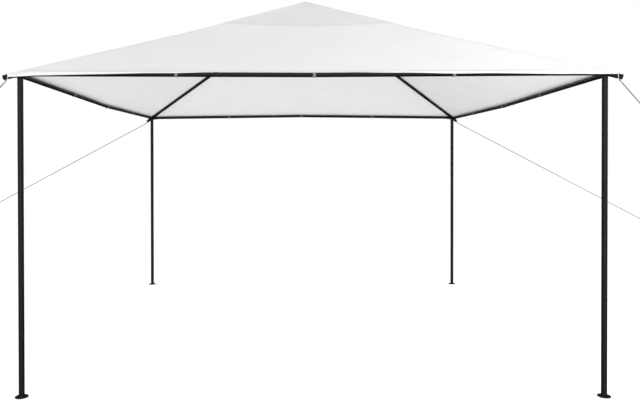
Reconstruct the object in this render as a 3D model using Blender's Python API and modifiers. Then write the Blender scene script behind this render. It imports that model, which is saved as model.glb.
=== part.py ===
"""Party tent, 4 m by 4 m between the posts, with a four-sided pyramid canopy.

Frame of the part: the origin is on the ground in the middle of the square,
+X runs to the right along the front, +Y runs from the front to the back, and
+Z points up. Everything is in metres.
"""

import math

import bmesh
import bpy
from mathutils import Vector

# Driving dimensions of the steel frame
HALF_SPAN = 2.000          # from the middle of the tent to the axis of a post
EAVE_HEIGHT = 2.217        # axis of the hip arms at the corners
PEAK_HEIGHT = 3.210        # where the axes of the four hip rafters meet
POST_RADIUS = 0.0195
TUBE_RADIUS = 0.016        # eave rails and hip rafters
SOCKET_RADIUS = 0.017      # arms of the corner connectors and of the peak hub
FOOT_RADIUS = 0.044
FOOT_THICKNESS = 0.005
FOOT_RIM = 0.0015          # how far the edges of the foot plate are rounded

# The tubes come in halves, and each pair hangs a little low, or high, where its halves meet.
# A rail's axis lies this far under EAVE_HEIGHT at its left end, middle and right end, seen from outside.
RAIL_DROPS = {
    "front": (0.0020, 0.0105, 0.0),
    "right": (0.0125, 0.0360, 0.0105),
    "back": (0.0, -0.0225, 0.0),
    "left": (0.0, 0.0360, 0.0125),
}
RAFTER_DIP = 0.016

# Joints between the pieces
SEAT_GAP = 0.0004          # between pieces that touch
HALF_JOINT_GAP = 0.0008    # between the halves of a bent pair of tubes
SOCKET_REACH = 0.090       # length of a connector arm along a rail, from the corner
HIP_ARM_RADIUS = 0.0167    # of the arms that hold the hip rafters
HIP_ARM_REACH = 0.072      # of the connector's inner hip arm, along X and along Y
CONNECTOR_BOTTOM = 2.165
CONNECTOR_TOP = 2.226
ARM_OVERHANG = 0.0725      # how far the outer arm runs on past the post, along X and along Y
HUB_RADIUS = 0.021
HUB_BOTTOM = 3.160
HUB_TOP = 3.2145
HUB_REACH = 0.120
CAP_RADIUS = 0.0178
CAP_THICKNESS = 0.008

# Canopy
CLOTH_LIFT = 0.0205        # from the axis of a tube up to the underside of the cloth on it
CLOTH_THICKNESS = 0.002
PANEL_SAG = 0.030          # of the middle of a panel under its two hips
CLOTH_ROWS = (0.03, 0.10, 0.25, 0.42, 0.58, 0.74, 1.10, 1.45, 1.75, 2.00)
CLOTH_COLUMNS = (0.0, 0.15, 0.30, 0.45, 0.60, 0.75, 0.88, 1.0)
HEM_DROP = 0.005           # of the hem below the cloth on the rail, in the middle of a side
HEM_DROP_CORNER = 0.030    # what the drop gains towards the corners
WRAP_RADIUS = 0.0192       # of the cloth where it bends down over a rail
SKIRT_END = 1.900          # where the hem leaves the rail for the corner
TIP_RADIUS = 0.0195        # of the cloth over the outer arm
TIP_SET_BACK = 0.004       # of the cloth's end from the end of that arm, along X and along Y
PATCH_HALF = 0.740         # half the width of the peak patch
PATCH_LIFT = 0.0030
PATCH_THICKNESS = 0.0015

# Guy stays
ROPE_RADIUS = 0.004
STAKE_X = 5.300
STAKE_RADIUS = 0.004
STAKE_HEIGHT = 0.060
STAKE_HOOK_RADIUS = 0.014
STAKE_HOOK_TURN = 200.0    # degrees
STAY_FOOT_HEIGHT = {"front": 0.020, "back": 0.035}
STAY_SET_BACK = 0.008      # from the end of the outer arm, along X and along Y

ROUND_SIDES = 24
TUBE_BEVEL = 10            # gives a tube 24 sides
ROPE_BEVEL = 4             # gives a rope or a rod 12 sides
SIDES = ("front", "right", "back", "left")
# The corner ends of each side's rail, from left to right as seen from outside
RAIL_ENDS = {
    "front": ("left", "right"),
    "right": ("front", "back"),
    "back": ("right", "left"),
    "left": ("back", "front"),
}
CORNERS = {"front_left": (-1, -1), "front_right": (1, -1), "back_right": (1, 1), "back_left": (-1, 1)}


def clear_scene():
    """Removes whatever the scene starts with."""
    for thing in list(bpy.data.objects):
        bpy.data.objects.remove(thing, do_unlink=True)


def make_collection(name):
    collection = bpy.data.collections.new(name)
    bpy.context.scene.collection.children.link(collection)
    return collection


def make_material(name, colour, roughness, metallic):
    material = bpy.data.materials.new(name)
    material.use_nodes = True
    shader = material.node_tree.nodes["Principled BSDF"]
    shader.inputs["Base Color"].default_value = (*colour, 1.0)
    shader.inputs["Roughness"].default_value = roughness
    shader.inputs["Metallic"].default_value = metallic
    return material


def add_object(name, data, material, collection):
    """Links a new object that holds this mesh or curve, with its material."""
    thing = bpy.data.objects.new(name, data)
    data.materials.append(material)
    collection.objects.link(thing)
    return thing


def add_tube(name, points, radius, material, collection, bevel_resolution=TUBE_BEVEL):
    """A round tube with closed ends along straight runs between the points."""
    curve = bpy.data.curves.new(name, "CURVE")
    curve.dimensions = "3D"
    curve.bevel_depth = radius
    curve.bevel_resolution = bevel_resolution
    curve.use_fill_caps = True
    spline = curve.splines.new("POLY")
    spline.points.add(len(points) - 1)
    for spot, point in zip(spline.points, points):
        spot.co = (*point, 1.0)
    return add_object(name, curve, material, collection)


def cylinder_mesh(name, start, end, radius, sides=ROUND_SIDES):
    """A mesh cylinder between two points, with its end faces square to it."""
    start = Vector(start)
    end = Vector(end)
    mesh = bpy.data.meshes.new(name)
    shape = bmesh.new()
    bmesh.ops.create_cone(
        shape,
        cap_ends=True,
        segments=sides,
        radius1=radius,
        radius2=radius,
        depth=(end - start).length,
    )
    turn = (end - start).to_track_quat("Z", "Y").to_matrix().to_4x4()
    shape.transform(turn)
    bmesh.ops.translate(shape, verts=shape.verts, vec=(start + end) / 2)
    shape.to_mesh(mesh)
    shape.free()
    mesh.shade_smooth()
    mesh.set_sharp_from_angle(angle=math.radians(40))
    return mesh


def add_turned(name, profile, place, material, collection, steps=32):
    """A turned piece: the profile of (radius, height) points, from the top down, spun about Z."""
    mesh = bpy.data.meshes.new(name)
    points = [(radius, 0.0, height) for radius, height in profile]
    edges = [(index, index + 1) for index in range(len(points) - 1)]
    mesh.from_pydata(points, edges, [])
    thing = add_object(name, mesh, material, collection)
    thing.location = place
    screw = thing.modifiers.new("Turn", "SCREW")
    screw.steps = steps
    screw.render_steps = steps
    screw.use_merge_vertices = True
    screw.merge_threshold = 0.0001
    screw.use_smooth_shade = True
    return thing


def add_union(name, meshes, material, collection, cutters):
    """Joins mesh pieces that overlap into one solid with Boolean modifiers."""
    body = add_object(name, meshes[0], material, collection)
    for index, mesh in enumerate(meshes[1:], start=1):
        helper = add_object(f"{name}_joined_{index}", mesh, material, cutters)
        helper.hide_render = True
        helper.display_type = "WIRE"
        join = body.modifiers.new(f"Join {index}", "BOOLEAN")
        join.operation = "UNION"
        join.solver = "EXACT"
        join.object = helper
    return body


def side_frame(side):
    """Outward direction of a side, and its direction from left to right as seen from outside."""
    turn = SIDES.index(side) * math.pi / 2
    outward = Vector((round(math.sin(turn)), -round(math.cos(turn)), 0.0))
    along = Vector((round(math.cos(turn)), round(math.sin(turn)), 0.0))
    return outward, along


def from_side(side, outward, along, height):
    """The point at these distances in the frame of one side."""
    out_axis, along_axis = side_frame(side)
    return out_axis * outward + along_axis * along + Vector((0.0, 0.0, height))


def rafter_height(reach):
    """Height of a hip rafter's axis where it is this far from the middle along X and Y."""
    share = reach / HALF_SPAN
    chord = PEAK_HEIGHT + (EAVE_HEIGHT - PEAK_HEIGHT) * share
    if share > 1.0:
        return EAVE_HEIGHT + outer_slope() * (reach - HALF_SPAN)
    return chord - RAFTER_DIP * (1.0 - abs(2.0 * share - 1.0))


def outer_slope():
    """Fall of the lower half of a hip rafter for each metre of X."""
    middle = (PEAK_HEIGHT + EAVE_HEIGHT) / 2 - RAFTER_DIP
    return (EAVE_HEIGHT - middle) / (HALF_SPAN / 2)


def rafter_point(corner, reach):
    x_sign, y_sign = CORNERS[corner]
    return Vector((x_sign * reach, y_sign * reach, rafter_height(reach)))


def rail_height(side, along):
    """Height of an eave rail's axis, which runs straight from each corner to the middle."""
    left, middle, right = RAIL_DROPS[side]
    share = min(abs(along) / HALF_SPAN, 1.0)
    end = left if along < 0.0 else right
    return EAVE_HEIGHT - middle - (end - middle) * share


def rail_point(side, along):
    return from_side(side, HALF_SPAN, along, rail_height(side, along))


def cloth_height(side, outward, along):
    """Underside of the canopy over a point inside the eaves, in the frame of one side."""
    share = outward / HALF_SPAN
    across = along / outward if outward > 0.0 else 0.0
    sag = PANEL_SAG * math.sin(math.pi * min(share, 1.0) ** 0.85) * (1.0 - across**2)
    dip = (EAVE_HEIGHT - rail_height(side, HALF_SPAN * across)) * share**4 * (1.0 - across**12)
    return rafter_height(outward) + CLOTH_LIFT - sag - dip


def hem_point(side, along):
    """The hem where it bends over a rail, as (outward, height)."""
    share = abs(along) / HALF_SPAN
    drop = HEM_DROP + HEM_DROP_CORNER * share**2.1
    start = cloth_height(side, HALF_SPAN, along)
    lift = start - rail_height(side, along)
    rise = max(lift - drop, 0.0)
    bulge = math.sqrt(max(WRAP_RADIUS**2 - rise**2, 0.0))
    return HALF_SPAN + bulge, start - drop


def tip_point(angle):
    """The end edge of the canopy over the outer arm, turned by this angle from the top of the arm.

    It is given as (outward, along, height) for the right-hand corner of a side.
    """
    reach = HALF_SPAN + ARM_OVERHANG - TIP_SET_BACK
    sideways = TIP_RADIUS * math.sin(angle) / math.sqrt(2.0)
    lift = CLOTH_LIFT * math.cos(angle)
    return reach + sideways, reach - sideways, rafter_height(reach) + lift


def panel_columns():
    """Places along a side's right half, from the middle to the hip.

    Each is (start along the rail, share of the way from the rail to the corner tip).
    """
    on_rail = [(SKIRT_END * share, None) for share in CLOTH_COLUMNS]
    to_tip = [0.35, 0.7, 1.0]
    around_tip = [0.4, 0.7, 1.0]
    reach = HALF_SPAN - SKIRT_END
    columns = list(on_rail)
    total = len(to_tip) + len(around_tip)
    for index in range(total):
        share = (index + 1) / total
        columns.append((SKIRT_END + reach * share, index))
    return columns, to_tip, around_tip


def panel_edge(side, sign, start, index, to_tip, around_tip):
    """Where a column of the panel ends at the hem, as (outward, along, height)."""
    if index is None:
        outward, height = hem_point(side, sign * start)
        return outward, start, height
    hem_outward, hem_height = hem_point(side, sign * SKIRT_END)
    first = Vector((hem_outward, SKIRT_END, hem_height))
    corner = Vector(tip_point(math.radians(90)))
    if index < len(to_tip):
        return tuple(first.lerp(corner, to_tip[index]))
    turn = 1.0 - around_tip[index - len(to_tip)]
    return tip_point(math.radians(90) * turn)


def panel_column(side, sign, start, index, to_tip, around_tip, wrap_rows):
    """One column of canopy points from the peak to the hem, in the half of a side that the sign gives.

    The points are laid out to the right of the middle in both halves.
    """
    across = start / HALF_SPAN
    points = []
    for outward in CLOTH_ROWS:
        along = outward * across
        points.append(Vector((outward, along, cloth_height(side, outward, sign * along))))
    top = points[-1]
    end = Vector(panel_edge(side, sign, start, index, to_tip, around_tip))
    for row in range(1, wrap_rows + 1):
        turn = math.radians(90) * row / wrap_rows
        out_share = math.sin(turn) ** 0.7
        down_share = 1.0 - math.cos(turn)
        if index is not None and index >= len(to_tip):
            # Over the outer arm the cloth runs straight out
            out_share = row / wrap_rows
            down_share = row / wrap_rows
        outward = top.x + (end.x - top.x) * out_share
        along = top.y + (end.y - top.y) * out_share
        height = top.z + (end.z - top.z) * down_share
        points.append(Vector((outward, along, height)))
    return points


def cloth_mesh(name, shape):
    """Turns an open bmesh sheet into a mesh whose faces all look up."""
    bmesh.ops.recalc_face_normals(shape, faces=shape.faces)
    shape.normal_update()
    if sum(face.normal.z for face in shape.faces) < 0.0:
        bmesh.ops.reverse_faces(shape, faces=shape.faces)
    mesh = bpy.data.meshes.new(name)
    shape.to_mesh(mesh)
    shape.free()
    mesh.shade_smooth()
    return mesh


def add_canopy_panel(side, material, collection):
    """One sewn panel of the canopy, as cloth that sags between its hips and wraps over the rail."""
    wrap_rows = 3
    columns, to_tip, around_tip = panel_columns()
    halves = []
    for sign in (-1.0, 1.0):
        half = [
            panel_column(side, sign, start, index, to_tip, around_tip, wrap_rows)
            for start, index in columns
        ]
        # Each panel stops short of the hip line by half a seam
        for point in half[-1]:
            point.y -= SEAT_GAP / 2
            point.x += SEAT_GAP / 2
        halves.append([[Vector((p.x, sign * p.y, p.z)) for p in column] for column in half])
    left, right = halves
    grid = left[:0:-1] + right
    shape = bmesh.new()
    made = [[shape.verts.new(from_side(side, *point)) for point in column] for column in grid]
    for first, second in zip(made, made[1:]):
        for row in range(len(first) - 1):
            shape.faces.new((first[row], first[row + 1], second[row + 1], second[row]))
    mesh = cloth_mesh(f"canopy_panel_{side}", shape)
    panel = add_object(f"canopy_panel_{side}", mesh, material, collection)
    shell = panel.modifiers.new("Cloth", "SOLIDIFY")
    shell.thickness = CLOTH_THICKNESS
    shell.offset = 1.0
    return panel


def add_peak_patch(material, collection):
    """The patch over the peak, one pyramid of cloth that lies on all four panels."""
    rings = [reach for reach in CLOTH_ROWS if reach <= PATCH_HALF]
    half = [share * SKIRT_END / HALF_SPAN for share in CLOTH_COLUMNS]
    across = [-1.0, *[-share for share in reversed(half[1:])], *half]
    shape = bmesh.new()
    top_height = cloth_height("front", 0.001, 0.0) + PATCH_LIFT
    peak = shape.verts.new((0.0, 0.0, top_height))
    previous = None
    for reach in rings:
        ring = []
        for side in SIDES:
            for share in across:
                along = reach * share
                height = cloth_height(side, reach, along) + PATCH_LIFT
                ring.append(shape.verts.new(from_side(side, reach, along, height)))
        count = len(ring)
        for index in range(count):
            after = (index + 1) % count
            if previous is None:
                shape.faces.new((peak, ring[index], ring[after]))
            else:
                shape.faces.new((previous[index], ring[index], ring[after], previous[after]))
        previous = ring
    mesh = cloth_mesh("peak_patch", shape)
    patch = add_object("peak_patch", mesh, material, collection)
    shell = patch.modifiers.new("Cloth", "SOLIDIFY")
    shell.thickness = PATCH_THICKNESS
    shell.offset = 1.0
    return patch


def add_corner(corner, steel, plastic, collection, cutters):
    """Foot plate, post, connector and end cap of one corner."""
    x_sign, y_sign = CORNERS[corner]
    place = (x_sign * HALF_SPAN, y_sign * HALF_SPAN, 0.0)
    foot_profile = [
        (0.0, FOOT_THICKNESS),
        (FOOT_RADIUS - FOOT_RIM, FOOT_THICKNESS),
        (FOOT_RADIUS, FOOT_THICKNESS - FOOT_RIM),
        (FOOT_RADIUS, 0.0005),
        (FOOT_RADIUS - 0.0005, 0.0),
        (0.0, 0.0),
    ]
    add_turned(f"foot_plate_{corner}", foot_profile, place, steel, collection)

    post_bottom = FOOT_THICKNESS + SEAT_GAP
    post_top = CONNECTOR_BOTTOM - SEAT_GAP
    post = cylinder_mesh(
        f"post_{corner}", (*place[:2], post_bottom), (*place[:2], post_top), POST_RADIUS
    )
    add_object(f"post_{corner}", post, steel, collection)

    socket = cylinder_mesh(
        "post_socket", (*place[:2], CONNECTOR_BOTTOM), (*place[:2], CONNECTOR_TOP), POST_RADIUS
    )
    arms = [socket]
    for side in SIDES:
        out_axis, along_axis = side_frame(side)
        if out_axis.dot(Vector(place)) < 0.0:
            continue
        along_sign = 1.0 if along_axis.dot(Vector(place)) > 0.0 else -1.0
        start = rail_point(side, along_sign * HALF_SPAN)
        end = rail_point(side, along_sign * (HALF_SPAN - SOCKET_REACH))
        arms.append(cylinder_mesh(f"{side}_arm", start, end, SOCKET_RADIUS))
    inner = rafter_point(corner, HALF_SPAN - HIP_ARM_REACH)
    outer = rafter_point(corner, HALF_SPAN + ARM_OVERHANG)
    arms.append(cylinder_mesh("hip_arm", outer, inner, HIP_ARM_RADIUS))
    add_union(f"corner_connector_{corner}", arms, steel, collection, cutters)

    outward = (outer - inner).normalized()
    cap = cylinder_mesh(
        f"end_cap_{corner}",
        outer + outward * SEAT_GAP,
        outer + outward * (SEAT_GAP + CAP_THICKNESS),
        CAP_RADIUS,
    )
    add_object(f"end_cap_{corner}", cap, plastic, collection)


def add_rafter(corner, steel, collection):
    """The two tubes of one hip rafter, from the connector to the hub."""
    start = rafter_point(corner, HALF_SPAN - HIP_ARM_REACH)
    middle = rafter_point(corner, HALF_SPAN / 2)
    end = rafter_point(corner, hub_reach_flat())
    lower_axis = (middle - start).normalized()
    upper_axis = (end - middle).normalized()
    add_tube(
        f"hip_rafter_lower_{corner}",
        (start + lower_axis * SEAT_GAP, middle - lower_axis * HALF_JOINT_GAP / 2),
        TUBE_RADIUS,
        steel,
        collection,
    )
    add_tube(
        f"hip_rafter_upper_{corner}",
        (middle + upper_axis * HALF_JOINT_GAP / 2, end - upper_axis * SEAT_GAP),
        TUBE_RADIUS,
        steel,
        collection,
    )


def hub_reach_flat():
    """How far a hub arm reaches along X and along Y."""
    return HUB_REACH / math.sqrt(2.0)


def add_rail(side, steel, collection):
    """The two tubes of one eave rail, which meet in the middle of the side."""
    for end_name, sign in zip(RAIL_ENDS[side], (-1.0, 1.0)):
        start = rail_point(side, sign * (HALF_SPAN - SOCKET_REACH))
        middle = rail_point(side, 0.0)
        axis = (middle - start).normalized()
        add_tube(
            f"eave_rail_{side}_{end_name}",
            (start + axis * SEAT_GAP, middle - axis * HALF_JOINT_GAP / 2),
            TUBE_RADIUS,
            steel,
            collection,
        )


def add_hub(steel, collection, cutters):
    """The hub at the peak: a short upright tube with four sloping arms."""
    body = cylinder_mesh("hub_body", (0.0, 0.0, HUB_BOTTOM), (0.0, 0.0, HUB_TOP), HUB_RADIUS)
    arms = [body]
    for corner in CORNERS:
        end = rafter_point(corner, hub_reach_flat())
        centre = Vector((0.0, 0.0, rafter_height(0.0)))
        arms.append(cylinder_mesh(f"{corner}_arm", centre, end, HIP_ARM_RADIUS))
    add_union("peak_hub", arms, steel, collection, cutters)


def add_stake(side_name, sign, steel, collection):
    """A ground stake, from the ground up: a shaft that bends over into a hook."""
    top = STAKE_HEIGHT - STAKE_HOOK_RADIUS
    points = [(0.0, 0.0, 0.0), (0.0, 0.0, top / 2), (0.0, 0.0, top)]
    for step in range(1, 9):
        turn = math.radians(STAKE_HOOK_TURN) * step / 8
        points.append(
            (
                sign * STAKE_HOOK_RADIUS * (1.0 - math.cos(turn)),
                0.0,
                top + STAKE_HOOK_RADIUS * math.sin(turn),
            )
        )
    stake = add_tube(f"ground_stake_{side_name}", points, STAKE_RADIUS, steel, collection, ROPE_BEVEL)
    stake.location = (sign * STAKE_X, 0.0, 0.0)


def add_stay(corner, rope, collection):
    """One guy stay, straight from the end of the outer arm to the stake."""
    x_sign, y_sign = CORNERS[corner]
    reach = HALF_SPAN + ARM_OVERHANG - STAY_SET_BACK
    top = rafter_point(corner, reach)
    top.z -= HIP_ARM_RADIUS / math.cos(math.atan(outer_slope() / math.sqrt(2.0)))
    top.z -= ROPE_RADIUS + SEAT_GAP
    row = "front" if y_sign < 0 else "back"
    foot = Vector((x_sign * STAKE_X, 0.0, STAY_FOOT_HEIGHT[row]))
    axis = (foot - top).normalized()
    flat = math.hypot(axis.x, axis.y)
    bottom = foot - axis * (STAKE_RADIUS + ROPE_RADIUS * abs(axis.z) + SEAT_GAP) / flat
    add_tube(f"guy_stay_{corner}", (top, bottom), ROPE_RADIUS, rope, collection, ROPE_BEVEL)


def build_tent():
    clear_scene()
    parts = make_collection("party_tent")
    cutters = make_collection("helpers")
    steel = make_material("black_coated_steel", (0.016, 0.016, 0.017), 0.45, 0.0)
    plastic = make_material("black_plastic", (0.02, 0.02, 0.02), 0.4, 0.0)
    cloth = make_material("white_canopy_cloth", (0.85, 0.86, 0.86), 0.7, 0.0)
    rope = make_material("grey_laid_rope", (0.24, 0.24, 0.235), 0.8, 0.0)
    zinc = make_material("zinc_plated_steel", (0.55, 0.56, 0.57), 0.35, 1.0)
    for corner in CORNERS:
        add_corner(corner, steel, plastic, parts, cutters)
        add_rafter(corner, steel, parts)
        add_stay(corner, rope, parts)
    for side in SIDES:
        add_rail(side, steel, parts)
        add_canopy_panel(side, cloth, parts)
    add_hub(steel, parts, cutters)
    add_peak_patch(cloth, parts)
    add_stake("left", -1.0, zinc, parts)
    add_stake("right", 1.0, zinc, parts)


build_tent()
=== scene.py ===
# %% [markdown]
# # Dressing a party tent
# A square garden tent stands on four posts. Two steel tubes on each side carry the eaves, and four hip
# rafters rise to a hub at the top. A white cloth roof lies over them and is tied down with straps.
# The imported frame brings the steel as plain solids. This lesson adds what makes it look real:
# the sewn roof, its hems and straps, the ropes and their knots, the welds, and every finish.

import math

import bmesh
import bpy
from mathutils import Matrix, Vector


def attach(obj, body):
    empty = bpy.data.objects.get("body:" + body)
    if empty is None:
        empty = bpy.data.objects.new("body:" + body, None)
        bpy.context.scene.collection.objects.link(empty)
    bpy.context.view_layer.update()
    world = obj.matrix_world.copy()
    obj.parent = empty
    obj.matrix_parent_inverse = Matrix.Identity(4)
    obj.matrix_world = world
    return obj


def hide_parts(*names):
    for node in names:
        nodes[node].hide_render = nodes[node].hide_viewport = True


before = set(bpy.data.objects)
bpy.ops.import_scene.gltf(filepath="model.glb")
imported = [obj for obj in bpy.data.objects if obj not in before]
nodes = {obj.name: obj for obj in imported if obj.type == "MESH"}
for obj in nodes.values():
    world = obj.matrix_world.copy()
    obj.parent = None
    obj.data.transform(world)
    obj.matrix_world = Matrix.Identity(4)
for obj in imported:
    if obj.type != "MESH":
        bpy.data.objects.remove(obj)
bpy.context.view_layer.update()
print("solids in the frame:", len(nodes))

# %% [markdown]
# ## The measures of the tent
# A maker writes the driving sizes down once and lets every piece follow them. The heights here are those
# of the tubes' axes, and the cloth is laid a little above them. The halves of each rail meet in the middle
# and hang a little low there, or a little high at the back, as they do on the real tent.

# %% Driving sizes and small helpers for corners and sides
HALF_SPAN = 2.000
EAVE_HEIGHT = 2.217
PEAK_HEIGHT = 3.210
RAFTER_DIP = 0.016         # of the joint half way up a hip rafter
POST_RADIUS = 0.0195
TUBE_RADIUS = 0.016
SOCKET_RADIUS = 0.017
ARM_RADIUS = 0.0167
ARM_OVERHANG = 0.0725
FOOT_THICKNESS = 0.005
ROPE_RADIUS = 0.004
STAKE_X = 5.300
STAKE_RADIUS = 0.004
STAY_FOOT_HEIGHT = {"front": 0.020, "back": 0.035}
STAY_SET_BACK = 0.008      # of a stay's loop from the arm's end
# How far a rail's axis lies under EAVE_HEIGHT at its left end, middle and right end, seen from outside
RAIL_DROPS = {
    "front": (0.0020, 0.0105, 0.0),
    "right": (0.0125, 0.0360, 0.0105),
    "back": (0.0, -0.0225, 0.0),
    "left": (0.0, 0.0360, 0.0125),
}
UP = Vector((0.0, 0.0, 1.0))
SIDES = ("front", "right", "back", "left")
CORNERS = {"front_left": (-1, -1), "front_right": (1, -1), "back_right": (1, 1), "back_left": (-1, 1)}
LEFT_CORNERS = dict(zip(SIDES, CORNERS))
RIGHT_CORNERS = dict(zip(SIDES, [*CORNERS][1:] + [*CORNERS][:1]))


def side_frame(side):
    """Outward direction of a side, and its direction from left to right as seen from outside."""
    turn = SIDES.index(side) * math.pi / 2
    outward = Vector((round(math.sin(turn)), -round(math.cos(turn)), 0.0))
    return outward, Vector((-outward.y, outward.x, 0.0))


def from_side(side, outward, along, height):
    """The point at these distances in the frame of one side."""
    out_axis, along_axis = side_frame(side)
    return out_axis * outward + along_axis * along + UP * height


def at_corner(corner, reach, height):
    """The point at this height over a corner's diagonal, this far out along X and Y."""
    x_sign, y_sign = CORNERS[corner]
    return Vector((x_sign * reach, y_sign * reach, height))


def outer_slope():
    """Fall of the lower half of a hip rafter for each metre of X."""
    middle = (PEAK_HEIGHT + EAVE_HEIGHT) / 2 - RAFTER_DIP
    return (EAVE_HEIGHT - middle) / (HALF_SPAN / 2)


def rafter_height(reach):
    """Height of a hip rafter's axis where it is this far from the middle along X and Y."""
    share = reach / HALF_SPAN
    if share > 1.0:
        return EAVE_HEIGHT + outer_slope() * (reach - HALF_SPAN)
    chord = PEAK_HEIGHT + (EAVE_HEIGHT - PEAK_HEIGHT) * share
    return chord - RAFTER_DIP * (1.0 - abs(2.0 * share - 1.0))


def rafter_point(corner, reach):
    return at_corner(corner, reach, rafter_height(reach))


def rail_height(side, along):
    """Height of an eave rail's axis, which runs straight from each corner to the middle."""
    left, middle, right = RAIL_DROPS[side]
    share = min(abs(along) / HALF_SPAN, 1.0)
    end = left if along < 0.0 else right
    return EAVE_HEIGHT - middle - (end - middle) * share


def rail_point(side, along):
    return from_side(side, HALF_SPAN, along, rail_height(side, along))


print("fall of the roof for each metre:", round(-outer_slope(), 3))

# %% [markdown]
# ## The camera
# The tent was pictured from in front, a little left of its middle, with the lens at about breast height.
# The viewpoint could be found by eye, but the four posts and the rails fix it much better. A small lens
# shift does what a cropped picture does, so the camera itself can look almost level.

# %% Place the camera
LOOK_DOWN = 0.454          # degrees under level
ROLL = 0.073               # degrees


def show(name, data):
    """Puts a new object into the scene."""
    thing = bpy.data.objects.new(name, data)
    bpy.context.scene.collection.objects.link(thing)
    return thing


camera_data = bpy.data.cameras.new("portrait_camera")
camera_data.sensor_width = 36.0
camera_data.lens = 34.67
camera_data.shift_x = 0.0456
camera_data.shift_y = -0.0484
camera_data.clip_end = 200.0
camera = show("portrait_camera", camera_data)
camera.location = (-0.1496, -6.2219, 1.5932)
camera.rotation_euler = (math.radians(90.0 - LOOK_DOWN), math.radians(ROLL), 0.0)
bpy.context.scene.camera = camera
bpy.context.scene.view_settings.view_transform = "Standard"
print("camera stands at", [round(value, 2) for value in camera.location])

# %% [markdown]
# ## Nodes in short
# Every finish is a small net of nodes. It could be wired by hand, but a few helpers keep it short enough to
# read. One feeds a node's inputs, each from another node's socket or with a plain value. The others stand
# on it: a new node, a sum, a range, the parts of a vector and a new material.


# %% Helpers for nodes
def feed(tree, node, entries):
    """Feeds inputs of a node, each by a socket of another node or by a plain value."""
    for key, value in entries.items():
        if isinstance(value, bpy.types.NodeSocket):
            tree.links.new(value, node.inputs[key])
        else:
            node.inputs[key].default_value = value


def add_node(tree, kind, entries=None, **settings):
    """A new node with these settings and inputs."""
    node = tree.nodes.new(kind)
    for name, value in settings.items():
        setattr(node, name, value)
    feed(tree, node, entries or {})
    return node


def sum_up(tree, operation, *values):
    """A Math node over sockets or plain numbers."""
    return add_node(tree, "ShaderNodeMath", dict(enumerate(values)), operation=operation).outputs[0]


def spread(tree, value, low, high, new_low=0.0, new_high=1.0):
    """Maps a value from one range to another and holds it inside."""
    entries = {"Value": value, "From Min": low, "From Max": high, "To Min": new_low, "To Max": new_high}
    return add_node(tree, "ShaderNodeMapRange", entries).outputs["Result"]


def parts_of(tree, vector):
    """The X, Y and Z of a vector."""
    return add_node(tree, "ShaderNodeSeparateXYZ", {"Vector": vector}).outputs


def principled(name):
    """A new material, with its tree and its Principled shader."""
    material = bpy.data.materials.new(name)
    material.use_nodes = True
    return material, material.node_tree, material.node_tree.nodes["Principled BSDF"]


print("node helpers ready")

# %% [markdown]
# ## Floor and light
# The studio is white all round: a pale floor and a bright even sky. A wide soft light in front shines in
# under the roof, one at the right brightens that end of it and a small one the left corner, and two low
# ones lift the undersides at the right and at the back. Floor and sky have three strengths: plain white
# for the camera, a dimmer white as a light, and a darker room for what the black tubes mirror, brighter
# towards the front. Light Path tells the three kinds of ray apart.

# %% Lay the floor and hang the lights
WHITE = (1.0, 1.0, 1.0, 1.0)
FLOOR_REACH = 90.0
FLOOR_DROP = 0.0006        # keeps the floor's surface apart from that of the feet


def by_ray(tree, lighting, mirrored, seen, output):
    """Uses one shader as a light, one for what is mirrored and one for what the camera sees."""
    path = tree.nodes.new("ShaderNodeLightPath")
    picked = lighting
    for ray, shader in (("Is Glossy Ray", mirrored), ("Is Camera Ray", seen)):
        entries = {0: path.outputs[ray], 1: picked.outputs[0], 2: shader.outputs[0]}
        picked = add_node(tree, "ShaderNodeMixShader", entries)
    feed(tree, output, {"Surface": picked.outputs[0]})


def lay_floor(mirrored):
    """A pale floor that glows a little, more for the camera than as a light, and less in mirrored tubes."""
    material, tree, lighting = principled("pale_studio_floor")
    seen, dim = [tree.nodes.new("ShaderNodeBsdfPrincipled") for _ in range(2)]
    for shader, pale, glow in ((lighting, 0.90, 0.12), (seen, 0.90, 0.36), (dim, mirrored, 0.0)):
        feed(tree, shader, {
            "Base Color": (pale, pale, pale, 1.0), "Roughness": 0.9, "Specular IOR Level": 0.1,
            "Emission Color": WHITE, "Emission Strength": glow,
        })
    by_ray(tree, lighting, dim, seen, tree.nodes["Material Output"])
    mesh = bpy.data.meshes.new("studio_floor")
    corners = [(x_sign * FLOOR_REACH, y_sign * FLOOR_REACH, 0.0) for x_sign, y_sign in CORNERS.values()]
    mesh.from_pydata(corners, [], [(0, 1, 2, 3)])
    mesh.materials.append(material)
    floor = show("studio_floor", mesh)
    floor.location.z = -FLOOR_DROP


def light_the_sky(seen, lighting, sides, front):
    """A white sky with these strengths. The last two are for what tubes mirror, at the sides and in front."""
    world = bpy.data.worlds.new("white_studio")
    world.use_nodes = True
    tree = world.node_tree
    tree.nodes.clear()
    ahead = parts_of(tree, tree.nodes.new("ShaderNodeTexCoord").outputs["Generated"])["Y"]
    mirrored = spread(tree, ahead, -0.35, -0.95, sides, front)
    skies = [
        add_node(tree, "ShaderNodeBackground", {"Color": WHITE, "Strength": strength})
        for strength in (lighting, mirrored, seen)
    ]
    by_ray(tree, *skies, tree.nodes.new("ShaderNodeOutputWorld"))
    bpy.context.scene.world = world


def hang_soft_light(name, place, target, width, height, power):
    light = bpy.data.lights.new(name, "AREA")
    light.shape = "RECTANGLE"
    light.size = width
    light.size_y = height
    light.energy = power
    lamp = show(name, light)
    lamp.location = place
    lamp.rotation_euler = (Vector(target) - Vector(place)).to_track_quat("-Z", "Y").to_euler()
    lamp.visible_camera = False
    lamp.visible_glossy = False


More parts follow.
